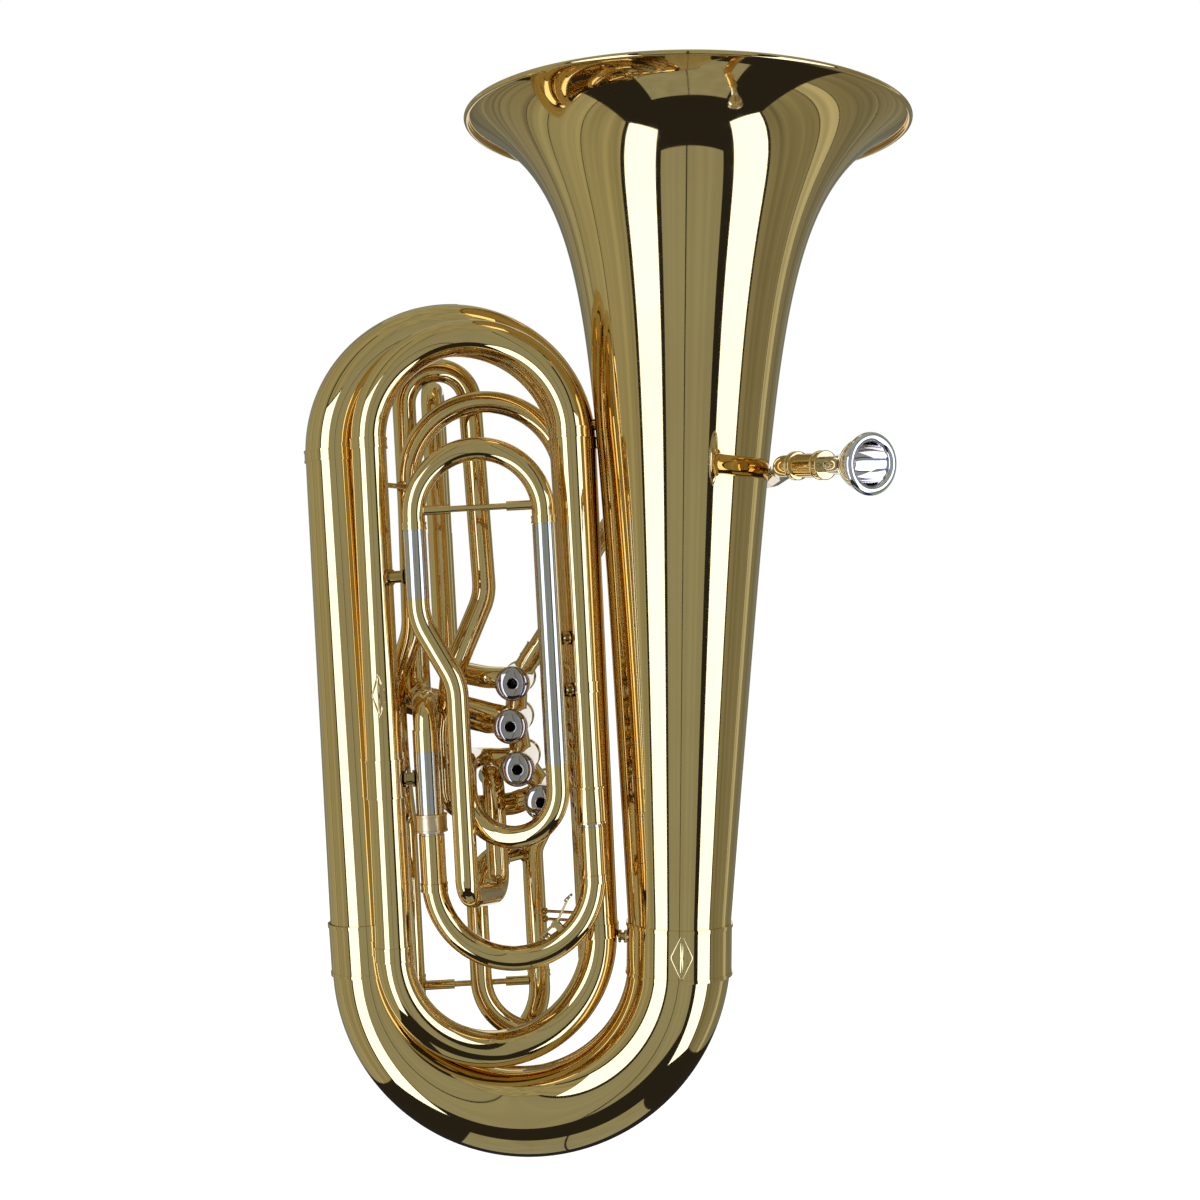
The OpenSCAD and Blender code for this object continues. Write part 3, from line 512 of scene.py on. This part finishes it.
def collar_outline(r, length, thick, bead):
    """A band with a bead at each end and a small step inside each bead."""
    out, soft, bead_length = r + thick, 0.3, 2.0
    inner_end = length - bead_length
    return [
        (r, 0), (out + bead - soft, 0), (out + bead, soft),
        (out + bead, bead_length - soft), (out + 0.1, bead_length), (out + 0.1, bead_length + 0.2),
        (out, bead_length + 0.5), (out, inner_end - 0.5),
        (out + 0.1, inner_end - 0.2), (out + 0.1, inner_end), (out + bead, inner_end + soft),
        (out + bead, length - soft), (out + bead - soft, length), (r, length),
    ]


def make_collars():
    """Bands on the main slide's sleeves. The left one is brushed."""
    up = in_coil(0, 0, 1).normalized()
    for side, u, metal, outline in (
        ("left", MAIN_LEFT_U, "satin_brass", collar_outline(11.42, 15, 2.0, 0.5)),
        ("right", MAIN_RIGHT_U, "lacquered_brass", collar_outline(12.42, 31, 0.8, 0.6)),
    ):
        low = in_coil(u, MAIN_Y, MAIN_SLEEVE_W)
        name = f"main_slide_{side}_collar"
        band = turned(name, outline, low, up, "lacquered_brass", "main_slide_collar")
        band.data.materials[0] = materials[metal]


def make_slide_tubes():
    """Thin outer tubes where a slide shows another metal than the CAD tube under it."""
    for side, u in (("left", MAIN_LEFT_U), ("right", MAIN_RIGHT_U)):
        low = in_coil(u, MAIN_Y, MAIN_BOW_W)
        high = in_coil(u, MAIN_Y, MAIN_SLEEVE_W - SLIDE_GAP)
        sleeve(f"main_slide_{side}_outer_tube", low, high, 10.8, 0.35, "lacquered_brass", "main_slide")
    low = in_coil(MAIN_LEFT_U, MAIN_Y, MAIN_NICKEL_LOW_W)
    high = in_coil(MAIN_LEFT_U, MAIN_Y, MAIN_NICKEL_HIGH_W)
    sleeve("main_slide_nickel_sleeve", low, high, 11.5, 0.08, "nickel_silver")
    for side, u, low_w in (("left", THIRD_LEFT_U, 479), ("right", THIRD_RIGHT_U, 337)):
        low = in_coil(u, THIRD_Y, low_w)
        high = in_coil(u, THIRD_Y, THIRD_RING_W)
        sleeve(f"third_slide_{side}_nickel_sleeve", low, high, 9.75, 0.13, "nickel_silver")


def make_smooth_pieces():
    make_bell()
    make_bottom_bow()
    make_top_bow()
    make_guard_plates()
    make_valve_caps()
    make_valve_springs()
    make_mouthpiece()
    make_receiver()
    make_collars()
    make_slide_tubes()


# ------------------------------------------------------------------ studio
FLOOR_DEPTH = -0.78
TENT_TOP = 2.0
SOFTBOX_TOP = 0.95
LEFT_WALL_X, RIGHT_WALL_X = -0.9, 1.16
FRONT_Y, BACK_Y = -1.52, 2.1
HALF_SEAM = 0.006


def glow_material(name, colour, strength, folds=0.0):
    """A glowing panel. Cloth hangs in soft upright folds that vary its brightness."""
    n = Nodes(name)
    n.tree.nodes.remove(n.shader)
    glow = n.add("ShaderNodeEmission", Color=(*colour, 1), Strength=strength)
    if folds:
        place = n.add("ShaderNodeTexCoord").outputs["Object"]
        drape = n.add("ShaderNodeMapping", {"Vector": place}, Scale=(7.0, 7.0, 0.25)).outputs["Vector"]
        waves = n.noise(drape, 1.0, 2.0)
        bright = n.remap(waves, 0.3, 0.7, strength * (1 - folds), strength * (1 + folds))
        n.tree.links.new(bright, glow.inputs["Strength"])
    n.tree.links.new(glow.outputs[0], n.tree.nodes["Material Output"].inputs["Surface"])
    return n.material


def stage_quad(name, corners, material):
    mesh = bpy.data.meshes.new(name)
    mesh.from_pydata(corners, [], [(0, 1, 2, 3)])
    mesh.materials.append(material)
    quad = bpy.data.objects.new(name, mesh)
    bpy.context.scene.collection.objects.link(quad)
    return quad


def light_wall(name, start, end, material, low=FLOOR_DEPTH, high=TENT_TOP):
    """An upright glowing panel between two floor points (x, y) that only reflections and light see."""
    wall = stage_quad(name, [(*start, low), (*end, low), (*end, high), (*start, high)], material)
    wall.visible_camera = False
    wall.visible_shadow = False
    return wall


def level_corners(low, high, z):
    return [(low[0], low[1], z), (high[0], low[1], z), (high[0], high[1], z), (low[0], high[1], z)]


def light_level(name, low, high, z, material):
    """A level glowing panel between two corners (x, y)."""
    panel = stage_quad(name, level_corners(low, high, z), material)
    panel.visible_camera = False
    panel.visible_shadow = False
    return panel


def make_tent():
    """A soft light tent: two bright boxes in front, grey cloth between and beside them, seams left dark."""
    bright = glow_material("softbox", (0.80, 1.0, 1.5), 2.2)
    cloth = glow_material("tent_cloth", (0.93, 1.0, 0.82), 0.36, folds=0.25)
    shaded = glow_material("shaded_cloth", (0.93, 0.98, 0.82), 0.23, folds=0.35)
    pale = glow_material("pale_cloth", (0.93, 1.0, 0.88), 0.5, folds=0.2)
    front = glow_material("front_cloth", (0.88, 1.0, 0.95), 0.34, folds=0.1)
    rear = glow_material("rear_cloth", (0.93, 1.0, 0.86), 0.18, folds=0.3)
    boxes = (("left", (-0.85, -0.67), (-0.46, -1.06)), ("right", (0.80, -0.87), (1.13, -0.45)))
    for side, start, end in boxes:
        light_wall(f"{side}_softbox", start, end, bright, high=SOFTBOX_TOP)
        light_wall(f"{side}_softbox_cloth", start, end, cloth, low=SOFTBOX_TOP + 0.02)
    light_wall("front_left", (-0.58, FRONT_Y), (0.045, FRONT_Y), front)
    light_wall("front_right", (0.075, FRONT_Y), (0.98, FRONT_Y), front)
    walls = (
        ("left", LEFT_WALL_X, (-0.62, 0.02, 0.5, 0.86, BACK_Y), (cloth, cloth, cloth, shaded)),
        ("right", RIGHT_WALL_X, (-0.42, 0.28, 0.55, 1.2, BACK_Y), (shaded, pale, shaded, shaded)),
    )
    for side, x, seams, cloths in walls:
        for k, (near, far) in enumerate(zip(seams, seams[1:])):
            light_wall(f"{side}_wall_{k}", (x, near + HALF_SEAM), (x, far - HALF_SEAM), cloths[k])
    backdrop = glow_material("backdrop", (1, 1, 1), 0.9)
    light_wall("back_left", (LEFT_WALL_X, BACK_Y), (-0.25, BACK_Y), rear)
    light_wall("back_middle", (-0.24, BACK_Y), (0.36, BACK_Y), backdrop)
    light_wall("back_right", (0.37, BACK_Y), (RIGHT_WALL_X, BACK_Y), rear)
    light_level("ceiling", (LEFT_WALL_X, -1.5), (RIGHT_WALL_X, BACK_Y), TENT_TOP, cloth)
    light_level("low_left", (-0.31, -0.44), (0.125, 0.44), FLOOR_DEPTH, front)
    light_level("low_right", (0.135, -0.44), (0.57, 0.44), FLOOR_DEPTH, front)


def make_world():
    """White where the camera looks past the tuba, nearly dark for its reflections."""
    world = bpy.data.worlds.new("studio")
    bpy.context.scene.world = world
    world.use_nodes = True
    tree = world.node_tree
    background = tree.nodes["Background"]
    path = tree.nodes.new("ShaderNodeLightPath")
    mix = tree.nodes.new("ShaderNodeMix")
    mix.data_type = "RGBA"
    mix.inputs[MIX_FIRST].default_value = (0.022, 0.022, 0.024, 1)
    mix.inputs[MIX_SECOND].default_value = (1.0, 1.0, 1.0, 1)
    tree.links.new(path.outputs["Is Camera Ray"], mix.inputs["Factor"])
    tree.links.new(mix.outputs[MIX_RESULT], background.inputs["Color"])


def make_floor():
    n = Nodes("pale_floor")
    n.set(Roughness=0.7)
    n.shader.inputs["Base Color"].default_value = (0.4, 0.4, 0.4, 1)
    n.shader.inputs["Emission Color"].default_value = (1, 1, 1, 1)
    n.set(Emission_Strength=1.0)
    reach, height = 6.0, -0.0005
    floor = stage_quad("floor", level_corners((-reach, -reach), (reach, reach), height), n.material)
    floor.visible_glossy = False
    floor.visible_shadow = False


def make_studio():
    make_world()
    make_tent()
    make_floor()
    bpy.context.scene.view_settings.view_transform = "Standard"


make_camera()
materials = make_materials()
dress_frame()
make_smooth_pieces()
make_studio()
